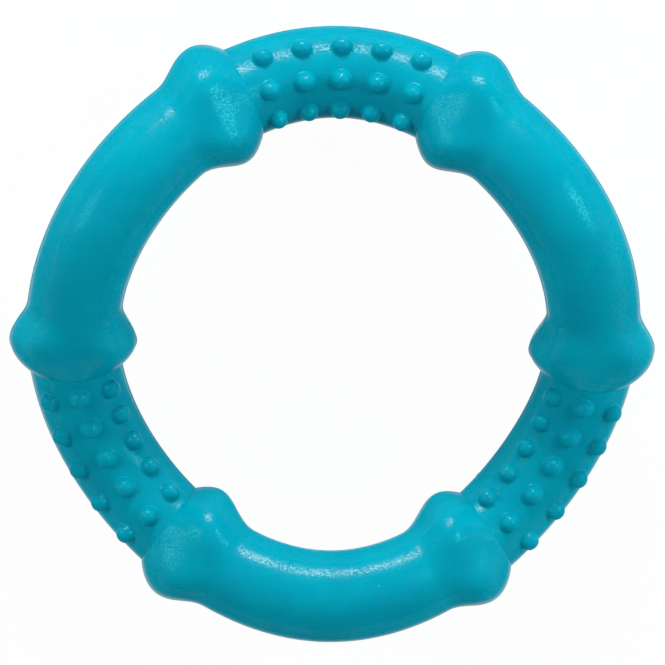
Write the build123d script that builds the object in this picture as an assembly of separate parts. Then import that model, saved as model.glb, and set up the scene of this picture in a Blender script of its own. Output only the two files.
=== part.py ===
from build123d import *

import os
from math import atan2, cos, degrees, pi, radians, sin

# A moulded rubber chew ring: curved bones joined end to end by round links that carry nubs.
# The ring's axis waves: it rises to the front along each bone and sinks along each link.
# Sizes are in millimetres and angles in degrees.
# The ring lies about the origin, square to +Z, with its bones arched towards +Z.

# Driving sizes of the ring
bone_count = 3                 # bones, with as many links between them
ring_radius = 66.5             # middle of the ring to the middle of its section, seen from the front
wave_height = 10.3             # rise of the axis at a bone's middle, and its drop at a link's
section_lean = 0.45            # share of the axis's slope that its sections lean with
first_bone_angle = 30.0        # place of the first bone's middle, counter-clockwise from +X
link_span_angle = 43.0         # angle about +Z from one bone's end face to the next bone's

# Driving size of a link
link_radius = 11.65            # round section

# Driving sizes of a bone
shaft_radius = 11.8            # round section between the knuckles
knuckle_half_width = 16.1      # widest point, measured across the ring
knuckle_saddle_height = 13.5   # half height between a knuckle's two lobes
lobe_swell = 1.3               # how far the lobes stand out of a plain oval section
knuckle_length = 17.2          # end face to the plain shaft, along the ring
width_crest = 6.5              # end face to the widest section, along the ring
height_crest = 9.0             # end face to the highest section, along the ring

# Driving sizes of the nubs
nub_rows = 3                   # rows along a link, on the front and again on the back
nubs_per_row = 5
nub_radius = 2.5               # ball that a nub's dome is the top of
nub_height = 2.7               # top of the dome above the link
nub_row_angle = 41.0           # from one row to the next, about the link's section
nub_end_gap = 2.3              # last nub of the front's middle row to the bone's end face

# Fineness of the lofts
section_points = 16
bone_stations = 24             # steps between sections along a bone
link_stations = 6              # steps between sections along a link
end_crowding = 0.25            # how far a bone's sections crowd towards its ends

# Values that follow
bone_pitch = 360.0 / bone_count
bone_span_angle = bone_pitch - link_span_angle
link_place = bone_pitch / 2    # angle from a bone's middle to the next link's
ball_reach = link_radius + nub_height - nub_radius


def ring_angle(length):
    """Angle about +Z that a length along the ring takes up."""
    return degrees(length / ring_radius)


def axis_plane(angle):
    """Plane of a section, by its angle from a bone's middle at +X: across in X, frontwards in Y."""
    turn = radians(angle)
    outward = Vector(cos(turn), sin(turn), 0)
    onward = Vector(-sin(turn), cos(turn), 0) * ring_radius
    climb = -bone_count * wave_height * sin(bone_count * turn) * section_lean
    middle = outward * ring_radius + Vector(0, 0, wave_height * cos(bone_count * turn))
    return Plane(middle, x_dir=outward, z_dir=-(onward + Vector(0, 0, climb)))


def swing(share):
    """Smooth change from 0 to 1."""
    return (1 - cos(pi * share)) / 2


def flare(distance, crest):
    """Share of a knuckle's full size past its crest, down to nothing at the shaft."""
    return 1 - swing(min((distance - crest) / (knuckle_length - crest), 1))


def arched_share(distance, crest):
    """Share of the full size at a distance from the bone's end: a steep arch, then the flare."""
    if distance < crest:
        return 1 - (1 - distance / crest) ** 2
    return flare(distance, crest)


def soft_share(distance, crest):
    """Share of the full size at a distance from the bone's end: a soft rise, then the flare."""
    if distance < crest:
        return swing(distance / crest)
    return flare(distance, crest)


def section(angle, half_width, mid_height, swell):
    """Closed outline about the axis: round, oval or two-lobed."""
    points = []
    for number in range(section_points):
        turn = 2 * pi * number / section_points
        across = half_width * cos(turn)
        up = (mid_height + swell * sin(2 * turn) ** 2) * sin(turn)
        points.append((across, up))
    spacing = list(range(section_points + 1))
    outline = Wire([Edge.make_spline(points, periodic=True, parameters=spacing)])
    return axis_plane(angle).location * outline


def bone_section(angle):
    """Outline of a bone that is centred on +X, at an angle from its middle."""
    distance = (bone_span_angle / 2 - abs(angle)) / ring_angle(1)
    wide = arched_share(distance, width_crest)
    lobed = arched_share(distance, height_crest)
    high = (lobed + soft_share(distance, height_crest)) / 2
    base_radius = link_radius + min(distance / knuckle_length, 1) * (shaft_radius - link_radius)
    half_width = base_radius + wide * (knuckle_half_width - base_radius)
    mid_height = base_radius + high * (knuckle_saddle_height - base_radius)
    return section(angle, half_width, mid_height, lobed * lobe_swell)


def make_bone():
    """One curved bone, centred on +X: a loft from end face to end face."""
    sections = []
    for number in range(bone_stations + 1):
        place = 2 * number / bone_stations - 1
        crowded_place = (1 + end_crowding) * place - end_crowding * place ** 3
        sections.append(bone_section(crowded_place * bone_span_angle / 2))
    return Solid.make_loft(sections)


def make_link():
    """The round link that follows the bone at +X, from bone end to bone end."""
    step = link_span_angle / link_stations
    angles = [link_place - link_span_angle / 2 + step * number for number in range(link_stations + 1)]
    return Solid.make_loft([section(angle, link_radius, link_radius, 0) for angle in angles])


def section_angle(seen_angle, across, up):
    """Angle of the section in which a point across and up from the axis has the given angle about +Z."""
    angle = seen_angle
    for _ in range(25):
        point = axis_plane(angle).from_local_coords(Vector(across, up, 0))
        angle += seen_angle - degrees(atan2(point.Y, point.X))
    return angle


def nub_pitch():
    """Angle about +Z from one nub of a row to the next, from the last nub's clearance to the bone's end."""
    end_angle = link_place - link_span_angle / 2
    end_face = axis_plane(end_angle)
    angle = end_angle
    for _ in range(25):
        point = axis_plane(angle).from_local_coords(Vector(0, ball_reach, 0))
        clearance = -end_face.to_local_coords(point).Z
        angle += ring_angle(nub_radius + nub_end_gap - clearance)
    return (link_place - degrees(atan2(point.Y, point.X))) / ((nubs_per_row - 1) / 2)


def make_nubs(link, facing):
    """The rows of domed nubs on the front of a link, or on its back where facing is -1."""
    pitch = nub_pitch()
    nubs = []
    for row in range(nub_rows):
        turn = radians((row - (nub_rows - 1) / 2) * nub_row_angle)
        outward = Vector(sin(turn), facing * cos(turn), 0)
        ball = Plane(outward * ball_reach, x_dir=(0, 0, 1), z_dir=outward).location * Sphere(nub_radius)
        for place in range(nubs_per_row):
            seen_angle = link_place + pitch * (place - (nubs_per_row - 1) / 2)
            angle = section_angle(seen_angle, ball_reach * outward.X, ball_reach * outward.Y)
            nubs.append(axis_plane(angle).location * ball - link)
    return nubs


def write_part(name, solids):
    """Write one node's solids to its own file."""
    export_step(Compound(children=solids), f"parts/{name}.step")


os.makedirs("parts", exist_ok=True)
bone = make_bone()
link = make_link()
front_nubs = make_nubs(link, 1)
back_nubs = make_nubs(link, -1)
for number in range(bone_count):
    placed = Rot(0, 0, first_bone_angle + number * bone_pitch)
    write_part(f"bone_{number + 1}", [placed * bone])
    write_part(f"link_{number + 1}", [placed * link])
    write_part(f"link_{number + 1}_front_nubs", [placed * nub for nub in front_nubs])
    write_part(f"link_{number + 1}_back_nubs", [placed * nub for nub in back_nubs])
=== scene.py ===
"""A moulded rubber chew ring: curved bones joined by nubbed links, on a pale studio floor.

Sizes are in metres. The ring lies about the origin, square to +Z. Its axis waves: it rises along each
bone and sinks along each link.
"""

from math import cos, pi, radians, sin
from typing import NamedTuple

import bmesh
import bpy
from bpy.props import FloatProperty, FloatVectorProperty, IntProperty, PointerProperty
from mathutils import Matrix, Vector


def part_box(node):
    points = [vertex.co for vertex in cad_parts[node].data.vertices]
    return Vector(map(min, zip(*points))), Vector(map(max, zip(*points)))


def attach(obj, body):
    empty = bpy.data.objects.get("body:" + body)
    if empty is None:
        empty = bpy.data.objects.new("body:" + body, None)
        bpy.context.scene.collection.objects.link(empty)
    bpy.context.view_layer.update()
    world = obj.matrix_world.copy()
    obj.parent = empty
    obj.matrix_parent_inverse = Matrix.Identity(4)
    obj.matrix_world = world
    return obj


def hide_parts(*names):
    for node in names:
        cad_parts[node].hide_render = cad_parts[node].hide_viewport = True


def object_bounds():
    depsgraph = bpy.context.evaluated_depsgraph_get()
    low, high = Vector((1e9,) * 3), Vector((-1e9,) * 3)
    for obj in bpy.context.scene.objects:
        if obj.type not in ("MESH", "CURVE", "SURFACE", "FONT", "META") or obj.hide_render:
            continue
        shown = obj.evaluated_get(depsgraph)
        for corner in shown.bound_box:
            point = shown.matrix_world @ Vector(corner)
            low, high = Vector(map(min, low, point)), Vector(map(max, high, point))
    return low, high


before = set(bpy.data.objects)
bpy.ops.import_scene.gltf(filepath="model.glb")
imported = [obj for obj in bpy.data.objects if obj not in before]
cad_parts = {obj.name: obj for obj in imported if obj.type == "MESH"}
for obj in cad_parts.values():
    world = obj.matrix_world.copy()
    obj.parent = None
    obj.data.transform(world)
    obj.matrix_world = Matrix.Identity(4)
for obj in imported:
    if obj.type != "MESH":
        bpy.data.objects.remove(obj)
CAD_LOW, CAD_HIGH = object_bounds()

bl_info = {
    "name": "Rubber chew ring",
    "version": (1, 0, 0),
    "blender": (4, 5, 0),
    "location": "3D View > Sidebar > Chew ring",
    "description": "Builds a moulded rubber chew ring and a small studio around it",
    "category": "Object",
}

BODY = "root"

# Middle of the ring to the middle of its section
RING_RADIUS = 0.0665

# Sizes and places that follow from it and from the frame, in which link_1 lies towards +Y
LINK_LOW, LINK_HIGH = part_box("link_1")
BONE_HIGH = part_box("bone_3")[1]
LINK_RADIUS = LINK_HIGH.y - RING_RADIUS
WAVE_HEIGHT = -LINK_LOW.z - LINK_RADIUS
SHAFT_RADIUS = BONE_HIGH.z - WAVE_HEIGHT
LINK_NAMES = sorted(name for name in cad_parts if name.startswith("link_") and "nubs" not in name)
BONE_NAMES = sorted(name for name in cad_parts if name.startswith("bone_"))
BONE_COUNT = len(BONE_NAMES)
BONE_PITCH = 2 * pi / BONE_COUNT
FIRST_LINK_ANGLE = pi / 2
FIRST_BONE_ANGLE = FIRST_LINK_ANGLE - BONE_PITCH / 2


class RingSizes(bpy.types.PropertyGroup):
    """Sizes of the ring, its bones, its links and their nubs."""

    ring_radius: FloatProperty(
        name="Ring radius",
        description="Middle of the ring to the middle of its section, seen from the front",
        default=RING_RADIUS, unit="LENGTH", precision=4)
    wave_height: FloatProperty(
        name="Wave height",
        description="Rise of the ring's axis at a bone's middle, and its drop at a link's",
        default=WAVE_HEIGHT, unit="LENGTH", precision=4)
    section_lean: FloatProperty(
        name="Section lean", description="Share of the axis's slope that the sections lean with",
        default=0.45, min=0, max=1, subtype="FACTOR")
    section_turn: FloatProperty(
        name="Section turn",
        description="Turn of the sections towards the links on the ring's inner side",
        default=radians(4.07), subtype="ANGLE")
    link_radius: FloatProperty(
        name="Link radius", description="Round section of a link",
        default=LINK_RADIUS, unit="LENGTH", precision=4)
    shaft_radius: FloatProperty(
        name="Shaft radius", description="Round section of a bone between its knuckles",
        default=SHAFT_RADIUS, unit="LENGTH", precision=4)
    link_span: FloatProperty(
        name="Link span", description="Angle about the ring from one bone's end to the next bone's",
        default=radians(43.4), subtype="ANGLE")
    knuckle_half_width: FloatProperty(
        name="Knuckle half width", description="Widest point of a bone's end, across the ring",
        default=0.0161, unit="LENGTH", precision=4)
    saddle_height: FloatProperty(
        name="Saddle height", description="Half height between a knuckle's two lobes",
        default=0.0129, unit="LENGTH", precision=4)
    lobe_swell: FloatProperty(
        name="Lobe swell", description="How far the lobes stand out of a plain oval section",
        default=0.0026, unit="LENGTH", precision=4)
    knuckle_length: FloatProperty(
        name="Knuckle length", description="Bone's end to the plain shaft, along the ring",
        default=0.0185, unit="LENGTH", precision=4)
    lobe_skew: FloatProperty(
        name="Lobe skew",
        description="How much longer the inner lobes are than the outer ones, along the ring",
        default=0.13, min=0, max=0.5, subtype="FACTOR")
    width_crest: FloatProperty(
        name="Width crest", description="Bone's end to its widest section, along the ring",
        default=0.0071, unit="LENGTH", precision=4)
    height_crest: FloatProperty(
        name="Height crest", description="Bone's end to its highest section, along the ring",
        default=0.009, unit="LENGTH", precision=4)
    crease_step: FloatProperty(
        name="Crease step", description="How far a bone's end stands proud of its link",
        default=0.00025, unit="LENGTH", precision=5)
    crease_blend: FloatProperty(
        name="Crease blend", description="Length over which a bone's end eases onto its link",
        default=0.00025, unit="LENGTH", precision=5)
    nub_rows: IntProperty(
        name="Nub rows", description="Rows of nubs on each side of a link", default=3, min=1)
    nubs_per_row: IntProperty(
        name="Nubs per row", description="Nubs along a link in each row", default=5, min=2)
    nub_radius: FloatProperty(
        name="Nub radius", description="Ball that a nub's dome is the top of",
        default=0.0025, unit="LENGTH", precision=5)
    nub_height: FloatProperty(
        name="Nub height", description="Top of a nub above its link",
        default=0.0027, unit="LENGTH", precision=5)
    nub_foot: FloatProperty(
        name="Nub foot", description="Radius of the hollow curve round a nub's foot",
        default=0.0005, unit="LENGTH", precision=5)
    front_row_angle: FloatProperty(
        name="Front row angle",
        description="From one row of nubs to the next on a link's front, about its section",
        default=radians(42.9), subtype="ANGLE")
    back_row_angle: FloatProperty(
        name="Back row angle",
        description="From one row of nubs to the next on a link's back, about its section",
        default=radians(37.5), subtype="ANGLE")
    nub_pitch: FloatProperty(
        name="Nub pitch", description="From one nub of a row to the next, about the ring",
        default=radians(7.796), subtype="ANGLE")
    parting_height: FloatProperty(
        name="Parting line height", description="Bead that the mould's joint leaves round the edge",
        default=0.0002, unit="LENGTH", precision=5)
    parting_width: FloatProperty(
        name="Parting line width", description="Half width of that bead",
        default=0.0003, unit="LENGTH", precision=5)
    unevenness: FloatProperty(
        name="Unevenness", description="Height of the slight waves in the moulded surface",
        default=0.00003, unit="LENGTH", precision=6)
    uneven_size: FloatProperty(
        name="Uneven size", description="Length of one of those waves",
        default=0.007, unit="LENGTH", precision=4)


class RubberLook(bpy.types.PropertyGroup):
    """Colour and finish of the rubber."""

    tone: FloatVectorProperty(
        name="Tone", description="Main colour of the rubber", subtype="COLOR",
        default=(0.0, 0.35, 0.482), min=0, max=1)
    deep_tone: FloatVectorProperty(
        name="Deep tone", description="Darker clouds in the colour", subtype="COLOR",
        default=(0.0, 0.312, 0.448), min=0, max=1)
    speck_tone: FloatVectorProperty(
        name="Speck tone", description="Pale dust specks", subtype="COLOR",
        default=(0.25, 0.62, 0.70), min=0, max=1)
    cloud_size: FloatProperty(
        name="Cloud size", description="Size of the clouds in the colour",
        default=0.012, unit="LENGTH", precision=4)
    grain_size: FloatProperty(
        name="Grain size", description="Size of the fine grain that breaks up highlights",
        default=0.0005, unit="LENGTH", precision=5)
    speck_spacing: FloatProperty(
        name="Speck spacing", description="Typical distance between dust specks",
        default=0.006, unit="LENGTH", precision=4)
    roughness: FloatProperty(
        name="Roughness", description="Middle value of the rubber's roughness",
        default=0.42, min=0, max=1, subtype="FACTOR")
    polish: FloatProperty(
        name="Polish", description="Share of the thin polished skin on the rubber",
        default=0.2, min=0, max=1, subtype="FACTOR")
    rim_angle: FloatProperty(
        name="Rim angle", description="Slant of the surface to the view at which that skin is whole",
        default=radians(82), subtype="ANGLE")


class StageLook(bpy.types.PropertyGroup):
    """Camera, floor and lamps of the small studio."""

    camera_tilt: FloatProperty(
        name="Camera tilt", description="Camera's lean from straight above towards the first link",
        default=radians(13.79), subtype="ANGLE")
    camera_side: FloatProperty(
        name="Camera side", description="Camera's lean to the right",
        default=radians(-2.01), subtype="ANGLE")
    camera_turn: FloatProperty(
        name="Camera turn", description="Turn of the camera about the ring",
        default=radians(1.174), subtype="ANGLE")
    camera_distance: FloatProperty(
        name="Camera distance", description="Camera to the middle of the ring",
        default=0.9926, unit="LENGTH")
    frame_width: FloatProperty(
        name="Frame width", description="Width of the picture at the middle of the ring",
        default=0.17008, unit="LENGTH", precision=4)
    aim_rise: FloatProperty(
        name="Aim rise", description="How far above the ring's middle the camera aims, in the picture",
        default=0.00079, unit="LENGTH", precision=5)
    aim_side: FloatProperty(
        name="Aim side",
        description="How far to the right of the ring's middle the camera aims, in the picture",
        default=-0.00028, unit="LENGTH", precision=5)
    sky_light: FloatProperty(
        name="Sky light", description="Even light from all round", default=0.2, min=0)
    ceiling_light: FloatProperty(
        name="Ceiling light", description="How light the ceiling shows in the rubber's gloss",
        default=0.05, min=0, max=1, subtype="FACTOR")
    floor_white: FloatProperty(
        name="Floor white", description="How far the floor shows as plain white to the camera",
        default=0.97, min=0, max=1, subtype="FACTOR")
    floor_bounce: FloatProperty(
        name="Floor bounce", description="Share of its light that the floor throws back at the ring",
        default=0.42, min=0, max=1, subtype="FACTOR")


class Term:
    """A number inside a node tree, so that a shape's rule can be written as a formula."""

    def __init__(self, tree, socket):
        self.tree = tree
        self.socket = socket

    def math(self, operation, *others):
        """The result of one Math node on this term and others."""
        node = self.tree.nodes.new("ShaderNodeMath")
        node.operation = operation
        for place, term in zip(node.inputs, (self, *others)):
            if isinstance(term, Term):
                self.tree.links.new(term.socket, place)
            else:
                place.default_value = term
        return Term(self.tree, node.outputs[0])

    def __add__(self, other):
        return self.math("ADD", other)

    def __sub__(self, other):
        return self.math("SUBTRACT", other)

    def __mul__(self, other):
        return self.math("MULTIPLY", other)

    def __truediv__(self, other):
        return self.math("DIVIDE", other)

    def __rsub__(self, other):
        return self.math("MULTIPLY_ADD", -1.0, other)

    def __neg__(self):
        return self.math("MULTIPLY", -1.0)

    __radd__ = __add__
    __rmul__ = __mul__

    def squared(self):
        return self * self

    def sine(self):
        return self.math("SINE")

    def cosine(self):
        return self.math("COSINE")

    def root(self):
        return self.math("SQRT")

    def inverse(self):
        return self.math("POWER", -1.0)

    def clamped(self, low=0.0, high=1.0):
        return self.math("MAXIMUM", low).math("MINIMUM", high)

    def below(self, other):
        """1 where this term is less than the other, and 0 elsewhere."""
        return self.math("LESS_THAN", other)

    def blend(self, other, share):
        """This term at share 0, the other at share 1."""
        return self + share * (other - self)


def new_shape_tree(name, inputs):
    """A geometry node tree with named number inputs and a material, and those inputs as terms."""
    tree = bpy.data.node_groups.new(name, "GeometryNodeTree")
    for label in inputs:
        tree.interface.new_socket(label, in_out="INPUT", socket_type="NodeSocketFloat")
    tree.interface.new_socket("Material", in_out="INPUT", socket_type="NodeSocketMaterial")
    tree.interface.new_socket("Geometry", in_out="OUTPUT", socket_type="NodeSocketGeometry")
    entry = tree.nodes.new("NodeGroupInput")
    terms = {label: Term(tree, entry.outputs[label]) for label in inputs}
    return tree, entry, terms


def add_node(tree, kind, links=(), **settings):
    """A node with its settings, and its inputs linked or set by name or number."""
    node = tree.nodes.new(kind)
    for key, value in settings.items():
        setattr(node, key, value)
    for place, value in dict(links).items():
        if isinstance(value, Term):
            tree.links.new(value.socket, node.inputs[place])
        elif isinstance(value, bpy.types.NodeSocket):
            tree.links.new(value, node.inputs[place])
        else:
            node.inputs[place].default_value = value
    return node


def position_terms(tree, attribute=None):
    """X, Y and Z of each point, or of a stored attribute, as three terms."""
    if attribute:
        source = add_node(tree, "GeometryNodeInputNamedAttribute", {"Name": attribute},
                          data_type="FLOAT_VECTOR")
    else:
        source = add_node(tree, "GeometryNodeInputPosition")
    split = add_node(tree, "ShaderNodeSeparateXYZ", {0: source.outputs[0]})
    return [Term(tree, output) for output in split.outputs]


def joined(tree, x, y, z):
    """A vector socket from three terms."""
    return add_node(tree, "ShaderNodeCombineXYZ", {"X": x, "Y": y, "Z": z}).outputs[0]


class RingSection:
    """The plane of the ring's section at an angle about the ring."""

    def __init__(self, tree, size, angle):
        self.tree = tree
        self.radius = size["Ring radius"]
        self.share = size["Section lean"]
        self.sine = angle.sine()
        self.cosine = angle.cosine()
        phase = (angle - FIRST_BONE_ANGLE) * BONE_COUNT
        self.height = size["Wave height"] * phase.cosine()
        self.turn = phase.sine() * size["Section turn"]
        self.climb = size["Wave height"] * phase.sine() * -BONE_COUNT
        self.tilt = self.climb * self.share
        self.slant = (self.radius.squared() + self.tilt.squared()).root()

    def back(self, across, up):
        """How far a point of the section lies back along the ring, by its turn and its lean."""
        return across * self.turn + up * self.tilt / self.slant

    def square_lean(self, up):
        """How far a height square to the axis leans back along the ring."""
        return up * self.climb / (self.radius.squared() + self.climb.squared()).root()

    def point(self, across, up):
        """The point across and up from the axis, as a vector socket."""
        reach = self.radius + across
        back = self.back(across, up)
        x = reach * self.cosine + back * self.sine
        y = reach * self.sine - back * self.cosine
        z = self.height + up * self.radius / self.slant
        return joined(self.tree, x, y, z)

    def length_per_angle(self, across, up):
        """Length along the ring that one radian makes at a point of the section."""
        bend = self.height * self.share * self.radius.squared()
        bend = bend / self.slant.math("POWER", 3.0) * BONE_COUNT ** 2
        return ((self.radius + across + up * bend).squared() + self.climb.squared()).root()


def uneven_height(tree, size, point):
    """Slight unevenness of the moulded surface at a point."""
    noise = add_node(tree, "ShaderNodeTexNoise", {
        "Vector": point, "Scale": size["Uneven size"].inverse(), "Detail": 1.0, "Roughness": 0.4})
    return (Term(tree, noise.outputs[0]) - 0.5) * size["Unevenness"] * 2.0


SEAM_GAP = 1e-6


def close_shape(tree, entry, geometry, point):
    """Moves a tree's geometry to its points, closes its seams and gives it its material."""
    moved = add_node(tree, "GeometryNodeSetPosition", {"Geometry": geometry, "Position": point})
    merged = add_node(tree, "GeometryNodeMergeByDistance",
                      {"Geometry": moved.outputs[0], "Distance": SEAM_GAP})
    smooth = add_node(tree, "GeometryNodeSetShadeSmooth", {"Geometry": merged.outputs[0]})
    real = add_node(tree, "GeometryNodeRealizeInstances", {"Geometry": smooth.outputs[0]})
    finish = add_node(tree, "GeometryNodeSetMaterial",
                      {"Geometry": real.outputs[0], "Material": entry.outputs["Material"]})
    exit_node = tree.nodes.new("NodeGroupOutput")
    tree.links.new(finish.outputs[0], exit_node.inputs["Geometry"])


STRETCH_INPUTS = (
    "Angle", "Half span", "Ring radius", "Wave height", "Section lean", "Section turn",
    "End radius", "Shaft radius", "Knuckle half width", "Saddle height", "Lobe swell", "Lobe skew",
    "Knuckle length", "Width crest", "Height crest", "Crease step", "Crease blend",
    "Parting height", "Parting width", "Unevenness", "Uneven size")

# Fineness of a stretch, the closing step at its ends, and how far its sides crowd at the parting line
STRETCH_STEPS = 240
STRETCH_SIDES = 128
CAP = 0.01
EDGE_CROWDING = 0.75


def flare_share(size, from_end, crest):
    """Share of a knuckle's full size past its crest, down to nothing at the shaft."""
    past_crest = ((from_end - crest) / (size["Knuckle length"] - crest)).clamped()
    return (past_crest * pi).cosine() * 0.5 + 0.5


def arched_share(size, from_end, crest):
    """Share of the full size: a steep arch up from the bone's end, then the flare."""
    eased_end = from_end.squared() / (from_end + size["Crease blend"])
    eased_crest = crest.squared() / (crest + size["Crease blend"])
    arch = 1.0 - (1.0 - eased_end / eased_crest).squared()
    return flare_share(size, from_end, crest).blend(arch, from_end.below(crest))


def soft_share(size, from_end, crest):
    """Share of the full size: a soft rise from the bone's end, then the flare."""
    rise = 0.5 - (from_end / crest * pi).cosine() * 0.5
    return flare_share(size, from_end, crest).blend(rise, from_end.below(crest))


def stretch_tree():
    """A stretch of the ring: a bent bar with a knuckle at each end, or a plain round link."""
    tree, entry, size = new_shape_tree("Ring stretch", STRETCH_INPUTS)
    grid = add_node(tree, "GeometryNodeMeshGrid", {
        "Size X": 2 * (1 + CAP), "Size Y": 2 * pi,
        "Vertices X": STRETCH_STEPS + 1, "Vertices Y": STRETCH_SIDES + 1})
    along, round_section, _ = position_terms(tree)

    # Steps crowd towards the two ends, and the last step on each side closes the end face
    share_along = along.clamped(-1.0, 1.0)
    inside = along.math("ABSOLUTE").below(1 + CAP / 2)
    eased = share_along * (1.5 - share_along.squared() * 0.5)
    bend = eased * size["Half span"]
    from_end = (size["Half span"] - bend.math("ABSOLUTE")) * size["Ring radius"]

    # Section: an oval with two lobes, round where the knuckle's share is nothing
    turn = round_section - (round_section * 2.0).sine() * (EDGE_CROWDING / 2)
    from_end = from_end * (1.0 + turn.cosine() * size["Lobe skew"])
    wide = arched_share(size, from_end, size["Width crest"])
    lobed = arched_share(size, from_end, size["Height crest"])
    high = (lobed + soft_share(size, from_end, size["Height crest"])) * 0.5
    to_shaft = (from_end / size["Knuckle length"]).clamped()
    risen = 1.0 - (-from_end / size["Crease blend"]).math("EXPONENT")
    step = size["Crease step"] * risen * (1.0 - to_shaft)
    base = size["End radius"].blend(size["Shaft radius"], to_shaft) + step
    half_width = base.blend(size["Knuckle half width"], wide)
    mid_height = base.blend(size["Saddle height"], high)
    across = half_width * turn.cosine()
    up = (mid_height + lobed * size["Lobe swell"] * (turn * 2.0).sine().squared()) * turn.sine()
    section = RingSection(tree, size, size["Angle"] + bend)

    # Parting bead and unevenness stand out from the middle of the section
    bead = (-(up / size["Parting width"]).squared()).math("EXPONENT") * size["Parting height"]
    proud = bead + uneven_height(tree, size, section.point(across, up))
    reach = (across.squared() + up.squared()).root()
    grown = (1.0 + proud / reach) * inside
    close_shape(tree, entry, grid.outputs["Mesh"], section.point(across * grown, up * grown))
    return tree


NUB_INPUTS = (
    "Angle", "Side", "Nub pitch", "Row angle", "Nub rows", "Nubs per row",
    "Ring radius", "Wave height", "Section lean", "Section turn", "Link radius",
    "Nub radius", "Nub height", "Nub foot", "Unevenness", "Uneven size")

# Fineness of a nub, whose last two steps are its root and its floor, and rounds that place it
NUB_DOME_STEPS = 9
NUB_FOOT_STEPS = 4
NUB_STEPS = NUB_DOME_STEPS + NUB_FOOT_STEPS + 2
NUB_SIDES = 32
PLACING_STEPS = 6
NUB_PLACE = "nub_place"


def nub_tree():
    """Rows of domed nubs, laid out flat and then bent onto a link."""
    tree, entry, size = new_shape_tree("Link nubs", NUB_INPUTS)

    # One nub about the origin: dome, hollow foot, a short root and its floor
    grid = add_node(tree, "GeometryNodeMeshGrid", {
        "Size X": float(NUB_STEPS), "Size Y": 2 * pi,
        "Vertices X": NUB_STEPS + 1, "Vertices Y": NUB_SIDES + 1})
    step, turn, _ = position_terms(tree)
    step = step + NUB_STEPS / 2
    ball_height = size["Nub height"] - size["Nub radius"]
    centres = size["Nub radius"] + size["Nub foot"]
    rise = size["Nub foot"] - ball_height
    foot_reach = (centres.squared() - rise.squared()).root()
    meet = (rise / centres).math("ARCSINE")
    dome_angle = meet + (pi / 2 - meet) * (1.0 - (step / NUB_DOME_STEPS).clamped())
    foot_angle = meet + (pi / 2 - meet) * ((step - NUB_DOME_STEPS) / NUB_FOOT_STEPS).clamped()
    on_foot = (-step).below(-(NUB_DOME_STEPS + 0.5))
    reach = (size["Nub radius"] * dome_angle.cosine()).blend(
        foot_reach - size["Nub foot"] * foot_angle.cosine(), on_foot)
    height = (ball_height + size["Nub radius"] * dome_angle.sine()).blend(
        size["Nub foot"] * (1.0 - foot_angle.sine()), on_foot)
    rooted = (step - (NUB_STEPS - 2)).clamped()
    closed = (step - (NUB_STEPS - 1)).clamped()
    reach = reach * (1.0 - closed)
    height = height - rooted * size["Nub foot"]
    one_point = joined(tree, reach * turn.cosine(), reach * turn.sine(), height)
    nub = add_node(tree, "GeometryNodeSetPosition",
                   {"Geometry": grid.outputs["Mesh"], "Position": one_point})
    place = add_node(tree, "GeometryNodeInputPosition")
    nub = add_node(tree, "GeometryNodeStoreNamedAttribute",
                   {"Geometry": nub.outputs[0], "Name": NUB_PLACE, "Value": place.outputs[0]},
                   data_type="FLOAT_VECTOR")

    # Flat sheet of places, by angle about the ring and about the section
    sheet = add_node(tree, "GeometryNodeMeshGrid", {
        "Size X": size["Nub pitch"] * (size["Nubs per row"] - 1.0),
        "Size Y": size["Row angle"] * (size["Nub rows"] - 1.0),
        "Vertices X": size["Nubs per row"], "Vertices Y": size["Nub rows"]})
    field = add_node(tree, "GeometryNodeInstanceOnPoints", {
        "Points": sheet.outputs["Mesh"], "Instance": nub.outputs[0]})
    real = add_node(tree, "GeometryNodeRealizeInstances", {"Geometry": field.outputs[0]})
    x, y, _ = position_terms(tree)
    local_x, local_y, local_z = position_terms(tree, NUB_PLACE)
    row_turn = y - local_y
    seen_angle = size["Angle"] + x - local_x

    # Section of each nub, found in steps, so that its ball's middle has its angle about the ring
    middle = size["Link radius"] + size["Nub height"] - size["Nub radius"]
    middle_across = middle * row_turn.sine()
    middle_up = middle * row_turn.cosine() * size["Side"]
    nub_angle = seen_angle
    for _ in range(PLACING_STEPS):
        back = RingSection(tree, size, nub_angle).back(middle_across, middle_up)
        nub_angle = seen_angle + (back / (size["Ring radius"] + middle_across)).math("ARCTANGENT")

    # Bend: what a nub measures on the flat turns into angles on the link, and the nub stays square to it
    seat_reach = size["Link radius"]
    reach = seat_reach + local_z
    turn = row_turn + local_y / reach
    across = reach * turn.sine()
    up = reach * turn.cosine() * size["Side"]
    aside = across - seat_reach * row_turn.sine()
    lift = up - seat_reach * row_turn.cosine() * size["Side"]
    foot = RingSection(tree, size, nub_angle)
    upright = local_x + foot.back(aside, lift) - foot.square_lean(lift)
    ring_angle = nub_angle + upright / foot.length_per_angle(across, up)
    section = RingSection(tree, size, ring_angle)
    seat = section.point(seat_reach * turn.sine(), seat_reach * turn.cosine() * size["Side"])
    proud = reach + uneven_height(tree, size, seat)
    close_shape(tree, entry, real.outputs[0],
                section.point(proud * turn.sine(), proud * turn.cosine() * size["Side"]))
    return tree


SHARP_ANGLE = radians(50)


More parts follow.
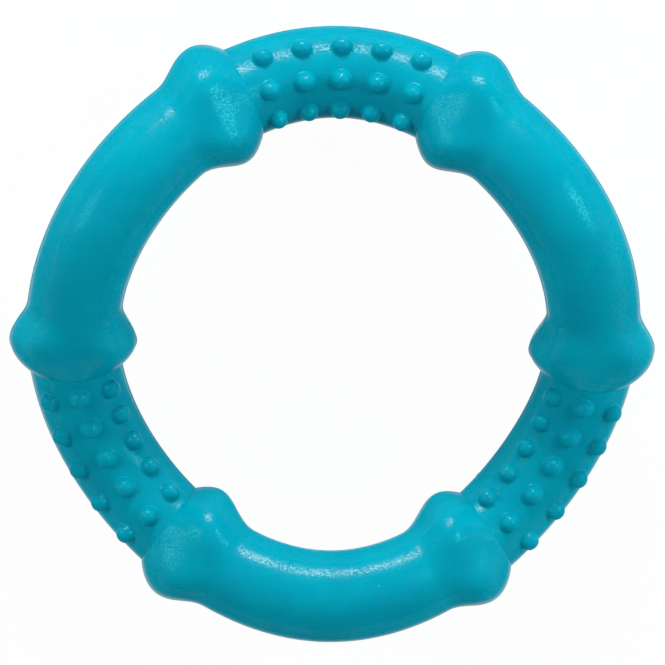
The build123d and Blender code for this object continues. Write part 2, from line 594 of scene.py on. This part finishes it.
def shape_piece(context, name, tree, values, material):
    """A plain closed mesh, made by a geometry node tree from its named values."""
    piece = bpy.data.objects.new(name, bpy.data.meshes.new(name))
    context.scene.collection.objects.link(piece)
    modifier = piece.modifiers.new("Shape", "NODES")
    modifier.node_group = tree
    settings = dict(values, Material=material)
    for item in tree.interface.items_tree:
        if item.in_out == "INPUT":
            modifier[item.identifier] = settings[item.name]
    shaped = bpy.data.meshes.new_from_object(piece.evaluated_get(context.evaluated_depsgraph_get()))
    piece.modifiers.remove(modifier)
    piece.data = shaped
    shaped.name = name
    if NUB_PLACE in shaped.attributes:
        shaped.attributes.remove(shaped.attributes[NUB_PLACE])
    turn_faces_out(shaped)
    shaped.set_sharp_from_angle(angle=SHARP_ANGLE)
    return piece


def turn_faces_out(mesh):
    """Turns every face of a closed mesh outwards."""
    work = bmesh.new()
    work.from_mesh(mesh)
    bmesh.ops.recalc_face_normals(work, faces=work.faces)
    work.to_mesh(mesh)
    work.free()


def seat_piece(piece, node):
    """Fixes a finished piece to the ring's body in place of its CAD node."""
    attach(piece, BODY)
    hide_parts(node)


def named_values(values, *labels):
    """Values of a property group by the names of their node inputs."""
    return {label: getattr(values, label.lower().replace(" ", "_")) for label in labels}


RUBBER_COLOURS = ("Tone", "Deep tone", "Speck tone")
RUBBER_NUMBERS = ("Cloud size", "Grain size", "Speck spacing", "Roughness", "Polish")

# Sockets of a Mix node that mixes colours
MIX_SHARE, MIX_FIRST, MIX_SECOND = 0, 6, 7
MIX_RESULT = 2

# Clouds in the colour: the noise at which they start, and how fast they gather
CLOUD_START = 0.35
CLOUD_CONTRAST = 3.0

# Patches of the finish: their size against the clouds', and their share in roughness and height
PATCH_SIZE = 0.35
PATCH_ROUGHNESS = 0.16
PATCH_HEIGHT = 0.8

# Grain of the finish: its share in roughness, and the polish that it leaves
GRAIN_ROUGHNESS = 0.12
GRAIN_START = 0.42
GRAIN_CONTRAST = 9.0
LEAST_POLISH = 0.1
MOST_POLISH = 1.6

# Dust specks: the share of cells that have one, its greatest radius in cells, and how it covers
SPECK_SHARE = 0.3
SPECK_RADIUS = 0.03
SPECK_COVER = 0.8


def rubber_group():
    """Shader group of moulded rubber: clouded colour, grain, polish and a few dust specks."""
    found = bpy.data.node_groups.get("Moulded rubber")
    if found:
        return found
    group = bpy.data.node_groups.new("Moulded rubber", "ShaderNodeTree")
    face = group.interface
    face.new_socket("Place", in_out="INPUT", socket_type="NodeSocketVector")
    for label in RUBBER_COLOURS:
        face.new_socket(label, in_out="INPUT", socket_type="NodeSocketColor")
    for label in RUBBER_NUMBERS:
        face.new_socket(label, in_out="INPUT", socket_type="NodeSocketFloat")
    face.new_socket("Color", in_out="OUTPUT", socket_type="NodeSocketColor")
    for label in ("Roughness", "Polish", "Height"):
        face.new_socket(label, in_out="OUTPUT", socket_type="NodeSocketFloat")
    entry = group.nodes.new("NodeGroupInput")
    given = {label: Term(group, entry.outputs[label]) for label in RUBBER_NUMBERS}

    def noise(size, detail):
        node = add_node(group, "ShaderNodeTexNoise", {
            "Vector": entry.outputs["Place"], "Scale": size.inverse(), "Detail": detail})
        return Term(group, node.outputs[0])

    cloud = noise(given["Cloud size"], 3.0)
    grain = noise(given["Grain size"], 2.0)
    patch = noise(given["Cloud size"] * PATCH_SIZE, 2.0)

    # Colour: clouds of the deep tone, and a speck in some of the cells
    clouded = add_node(group, "ShaderNodeMix", {
        MIX_SHARE: ((cloud - CLOUD_START) * CLOUD_CONTRAST).clamped(),
        MIX_FIRST: entry.outputs["Tone"], MIX_SECOND: entry.outputs["Deep tone"]}, data_type="RGBA")
    cells = add_node(group, "ShaderNodeTexVoronoi", {
        "Vector": entry.outputs["Place"], "Scale": given["Speck spacing"].inverse()})
    split = add_node(group, "ShaderNodeSeparateColor", {0: cells.outputs["Color"]})
    chosen = Term(group, split.outputs[0]).below(SPECK_SHARE)
    speck_radius = Term(group, split.outputs[1]) * SPECK_RADIUS
    speck = Term(group, cells.outputs["Distance"]).below(speck_radius) * chosen
    specked = add_node(group, "ShaderNodeMix", {
        MIX_SHARE: speck * SPECK_COVER, MIX_FIRST: clouded.outputs[MIX_RESULT],
        MIX_SECOND: entry.outputs["Speck tone"]}, data_type="RGBA")

    # Finish: the grain breaks up the polish, and patches of it are duller
    rough = given["Roughness"] + (grain - 0.5) * GRAIN_ROUGHNESS + (patch - 0.5) * PATCH_ROUGHNESS
    grained = ((grain - GRAIN_START) * GRAIN_CONTRAST).clamped(LEAST_POLISH, MOST_POLISH)
    polish = given["Polish"] * (grained + (patch - 0.5))
    exit_node = group.nodes.new("NodeGroupOutput")
    group.links.new(specked.outputs[MIX_RESULT], exit_node.inputs["Color"])
    group.links.new(rough.clamped(0.05, 1.0).socket, exit_node.inputs["Roughness"])
    group.links.new(polish.clamped().socket, exit_node.inputs["Polish"])
    group.links.new((grain + patch * PATCH_HEIGHT).socket, exit_node.inputs["Height"])
    return group


# Bump of the grain
BUMP_STRENGTH = 0.5
BUMP_DISTANCE = 0.0001

# Polished skin: its gloss, how steeply it sets in at the rim, and its greatest share there
SKIN_IOR = 2.0
SKIN_ROUGHNESS = 0.21
RIM_STEEPNESS = 12.0
RIM_POLISH = 0.45


def rubber_material(look):
    """The ring's one rubber, coloured all through."""
    found = bpy.data.materials.get("teal_rubber")
    if found:
        return found
    material = bpy.data.materials.new("teal_rubber")
    material.use_nodes = True
    tree = material.node_tree
    shader = tree.nodes["Principled BSDF"]
    place = add_node(tree, "ShaderNodeTexCoord")
    surface = add_node(tree, "ShaderNodeGroup", node_tree=rubber_group())
    tree.links.new(place.outputs["Object"], surface.inputs["Place"])
    for label, colour in named_values(look, *RUBBER_COLOURS).items():
        surface.inputs[label].default_value = (*colour, 1.0)
    for label, number in named_values(look, *RUBBER_NUMBERS).items():
        surface.inputs[label].default_value = number
    bump = add_node(tree, "ShaderNodeBump", {
        "Strength": BUMP_STRENGTH, "Distance": BUMP_DISTANCE, "Height": surface.outputs["Height"]})
    facing = Term(tree, add_node(tree, "ShaderNodeLayerWeight", {"Blend": 0.5}).outputs["Facing"])
    rim = (facing / (1 - cos(look.rim_angle))).math("POWER", RIM_STEEPNESS).clamped(0.0, RIM_POLISH)
    skin = Term(tree, surface.outputs["Polish"]) * (1.0 - facing).squared() + rim
    tree.links.new(surface.outputs["Color"], shader.inputs["Base Color"])
    tree.links.new(surface.outputs["Roughness"], shader.inputs["Roughness"])
    tree.links.new(skin.socket, shader.inputs["Coat Weight"])
    tree.links.new(bump.outputs[0], shader.inputs["Normal"])
    shader.inputs["Specular IOR Level"].default_value = 0.0
    shader.inputs["Coat IOR"].default_value = SKIN_IOR
    shader.inputs["Coat Roughness"].default_value = SKIN_ROUGHNESS
    return material


def stretch_values(sizes, angle, half_span):
    """Values that bones and links share."""
    values = named_values(
        sizes, "Ring radius", "Wave height", "Section lean", "Section turn", "Lobe skew",
        "Knuckle length", "Width crest", "Height crest", "Crease blend",
        "Parting height", "Parting width", "Unevenness", "Uneven size")
    values.update({"Angle": angle, "Half span": half_span, "End radius": sizes.link_radius})
    return values


def link_angle(number):
    """Angle about the ring of a link's middle, counted from 0."""
    return FIRST_LINK_ANGLE + number * BONE_PITCH


def shared_tree(name, maker):
    """The named node tree, made the first time that it is asked for."""
    return bpy.data.node_groups.get(name) or maker()


class CHEWRING_OT_make_bones(bpy.types.Operator):
    """Build the curved bone grips"""

    bl_idname = "chew_ring.make_bones"
    bl_label = "Make bones"

    def execute(self, context):
        sizes = context.scene.chew_ring_sizes
        tree = shared_tree("Ring stretch", stretch_tree)
        material = rubber_material(context.scene.chew_ring_rubber)
        half_span = (BONE_PITCH - sizes.link_span) / 2
        for number, node in enumerate(BONE_NAMES):
            values = stretch_values(sizes, link_angle(number) - BONE_PITCH / 2, half_span)
            values.update(named_values(
                sizes, "Shaft radius", "Knuckle half width", "Saddle height", "Lobe swell", "Crease step"))
            seat_piece(shape_piece(context, f"moulded_{node}", tree, values, material), node)
        return {"FINISHED"}


class CHEWRING_OT_make_links(bpy.types.Operator):
    """Build the round links between the bones"""

    bl_idname = "chew_ring.make_links"
    bl_label = "Make links"

    def execute(self, context):
        sizes = context.scene.chew_ring_sizes
        tree = shared_tree("Ring stretch", stretch_tree)
        material = rubber_material(context.scene.chew_ring_rubber)
        for number, node in enumerate(LINK_NAMES):
            values = stretch_values(sizes, link_angle(number), sizes.link_span / 2)
            values.update({
                "Shaft radius": sizes.link_radius, "Knuckle half width": sizes.link_radius,
                "Saddle height": sizes.link_radius, "Lobe swell": 0.0, "Crease step": 0.0})
            seat_piece(shape_piece(context, f"moulded_{node}", tree, values, material), node)
        return {"FINISHED"}


class CHEWRING_OT_make_nubs(bpy.types.Operator):
    """Build the domed nubs on the front and the back of each link"""

    bl_idname = "chew_ring.make_nubs"
    bl_label = "Make nubs"

    def execute(self, context):
        sizes = context.scene.chew_ring_sizes
        tree = shared_tree("Link nubs", nub_tree)
        material = rubber_material(context.scene.chew_ring_rubber)
        shared = named_values(
            sizes, "Ring radius", "Wave height", "Section lean", "Section turn", "Link radius",
            "Nub radius", "Nub height", "Nub foot", "Nub pitch", "Unevenness", "Uneven size")
        shared.update({"Nub rows": float(sizes.nub_rows), "Nubs per row": float(sizes.nubs_per_row)})
        sides = (("front", 1.0, sizes.front_row_angle), ("back", -1.0, sizes.back_row_angle))
        for number, link in enumerate(LINK_NAMES):
            for side, facing, row_angle in sides:
                node = f"{link}_{side}_nubs"
                values = shared | {"Angle": link_angle(number), "Side": facing, "Row angle": row_angle}
                seat_piece(shape_piece(context, f"moulded_{node}", tree, values, material), node)
        return {"FINISHED"}


class Lamp(NamedTuple):
    """A soft lamp: its place in degrees and metres, its size in metres, its light and its colour."""

    name: str
    azimuth: float
    elevation: float
    distance: float
    width: float
    height: float
    level: float
    colour: tuple
    in_gloss: bool


WARM = (1.0, 1.0, 0.95)
COOL = (0.15, 1.0, 1.0)

# The softboxes show in the rubber's gloss, and the others only light it
LAMPS = (
    Lamp("top_softbox", 92.0, 14.0, 0.9, 0.46, 0.28, 0.68, WARM, True),
    Lamp("right_softbox", 26.0, 38.0, 0.9, 0.40, 0.28, 0.36, COOL, True),
    Lamp("left_softbox", 162.0, 33.0, 0.9, 0.34, 0.30, 0.15, COOL, True),
    Lamp("left_fill", 162.0, 33.0, 1.2, 0.60, 0.50, 0.20, WARM, False),
    Lamp("top_wall", 92.0, 16.0, 1.2, 0.90, 0.50, 0.13, WARM, False),
    Lamp("right_wall", -9.0, 10.0, 1.2, 1.30, 0.70, 0.48, WARM, False),
    Lamp("left_wall", 196.0, 12.0, 1.2, 1.30, 0.70, 0.22, WARM, False),
    Lamp("front_wall", 272.0, 4.0, 1.2, 1.30, 0.50, 0.26, WARM, False),
)
FLOOR_HALF_WIDTH = 3.0
FLOOR_PAINT = 0.95
HORIZON_SHARPNESS = 10.0


def shown_white(tree):
    """Term that is 1 for rays that see the background and 0 for the light it gives."""
    path = add_node(tree, "ShaderNodeLightPath")
    seen = Term(tree, path.outputs["Is Camera Ray"])
    for label in ("Is Glossy Ray", "Is Transmission Ray"):
        seen = seen.math("MAXIMUM", Term(tree, path.outputs[label]))
    return seen


def make_world(look):
    """Soft even light from all round, with a backdrop that is white up to the horizon and dim above."""
    world = bpy.data.worlds.new("white_room")
    bpy.context.scene.world = world
    world.use_nodes = True
    tree = world.node_tree
    background = tree.nodes["Background"]
    background.inputs["Color"].default_value = (1.0, 1.0, 1.0, 1.0)
    place = add_node(tree, "ShaderNodeTexCoord")
    split = add_node(tree, "ShaderNodeSeparateXYZ", {0: place.outputs["Generated"]})
    overhead = (Term(tree, split.outputs["Z"]) * HORIZON_SHARPNESS - 0.5).clamped()
    backdrop = 1.0 + overhead * (look.ceiling_light - 1.0)
    strength = look.sky_light + shown_white(tree) * (backdrop - look.sky_light)
    tree.links.new(strength.socket, background.inputs["Strength"])


def make_floor(look):
    """Pale floor under the ring, white to the camera and still taking the ring's shadow."""
    bpy.ops.mesh.primitive_plane_add(size=2 * FLOOR_HALF_WIDTH, location=(0.0, 0.0, CAD_LOW.z))
    floor = bpy.context.object
    floor.name = "floor"
    material = bpy.data.materials.new("pale_floor")
    material.use_nodes = True
    tree = material.node_tree
    tree.nodes.remove(tree.nodes["Principled BSDF"])
    seen = shown_white(tree)
    shade = look.floor_bounce + seen * (FLOOR_PAINT - look.floor_bounce)
    matt = add_node(tree, "ShaderNodeBsdfDiffuse", {"Color": joined(tree, shade, shade, shade)})
    plain = add_node(tree, "ShaderNodeEmission", {"Color": (1.0, 1.0, 1.0, 1.0), "Strength": 1.0})
    mix = add_node(tree, "ShaderNodeMixShader", {
        0: seen * look.floor_white, 1: matt.outputs[0], 2: plain.outputs[0]})
    tree.links.new(mix.outputs[0], tree.nodes["Material Output"].inputs["Surface"])
    floor.data.materials.append(material)


def make_lamp(lamp):
    """Sets up a soft lamp that faces the middle of the ring."""
    light = bpy.data.lights.new(lamp.name, "AREA")
    light.shape = "RECTANGLE"
    light.size = lamp.width
    light.size_y = lamp.height
    light.energy = lamp.level * (pi * lamp.distance) ** 2
    light.color = lamp.colour
    azimuth, elevation = radians(lamp.azimuth), radians(lamp.elevation)
    out = Vector((cos(elevation) * cos(azimuth), cos(elevation) * sin(azimuth), sin(elevation)))
    holder = bpy.data.objects.new(lamp.name, light)
    holder.rotation_euler = out.to_track_quat("Z", "Y").to_euler()
    holder.location = out * lamp.distance
    holder.visible_glossy = lamp.in_gloss
    bpy.context.scene.collection.objects.link(holder)


def make_camera(look):
    """Camera above the ring, leaning towards the first link."""
    lens = bpy.data.cameras.new("camera")
    lens.lens = lens.sensor_width * look.camera_distance / look.frame_width
    tilt, side = look.camera_tilt, look.camera_side
    turn = Matrix.Rotation(look.camera_turn, 3, "Z")
    back = turn @ Vector((sin(side), cos(side) * sin(tilt), cos(side) * cos(tilt)))
    up = turn @ Vector((0.0, cos(tilt), -sin(tilt)))
    right = up.cross(back)
    place = back * look.camera_distance + up * look.aim_rise + right * look.aim_side
    holder = bpy.data.objects.new("camera", lens)
    holder.matrix_world = Matrix.Translation(place) @ Matrix((right, up, back)).transposed().to_4x4()
    bpy.context.scene.collection.objects.link(holder)
    bpy.context.scene.camera = holder


class CHEWRING_OT_make_stage(bpy.types.Operator):
    """Build the camera, the pale floor and the lamps"""

    bl_idname = "chew_ring.make_stage"
    bl_label = "Make stage"

    def execute(self, context):
        look = context.scene.chew_ring_stage
        context.scene.view_settings.view_transform = "Standard"
        make_world(look)
        make_floor(look)
        for lamp in LAMPS:
            make_lamp(lamp)
        make_camera(look)
        return {"FINISHED"}


class CHEWRING_PT_ring(bpy.types.Panel):
    """Sizes, finish and stage of the chew ring, with a button for each group of pieces"""

    bl_idname = "CHEWRING_PT_ring"
    bl_label = "Chew ring"
    bl_space_type = "VIEW_3D"
    bl_region_type = "UI"
    bl_category = "Chew ring"

    def draw(self, context):
        scene = context.scene
        for group in (scene.chew_ring_sizes, scene.chew_ring_rubber, scene.chew_ring_stage):
            box = self.layout.box()
            for label in group.__annotations__:
                box.prop(group, label)
        for operator in OPERATORS:
            self.layout.operator(operator.bl_idname)


OPERATORS = (
    CHEWRING_OT_make_bones,
    CHEWRING_OT_make_links,
    CHEWRING_OT_make_nubs,
    CHEWRING_OT_make_stage,
)
CLASSES = (RingSizes, RubberLook, StageLook, *OPERATORS, CHEWRING_PT_ring)


def register():
    """Makes the classes known, and gives each scene its settings."""
    for item in CLASSES:
        bpy.utils.register_class(item)
    bpy.types.Scene.chew_ring_sizes = PointerProperty(type=RingSizes)
    bpy.types.Scene.chew_ring_rubber = PointerProperty(type=RubberLook)
    bpy.types.Scene.chew_ring_stage = PointerProperty(type=StageLook)


def unregister():
    """Takes the settings and the classes away again."""
    del bpy.types.Scene.chew_ring_stage
    del bpy.types.Scene.chew_ring_rubber
    del bpy.types.Scene.chew_ring_sizes
    for item in reversed(CLASSES):
        bpy.utils.unregister_class(item)


def main():
    """Builds the ring and its stage."""
    register()
    bpy.ops.chew_ring.make_bones()
    bpy.ops.chew_ring.make_links()
    bpy.ops.chew_ring.make_nubs()
    bpy.ops.chew_ring.make_stage()


if __name__ == "__main__":
    main()
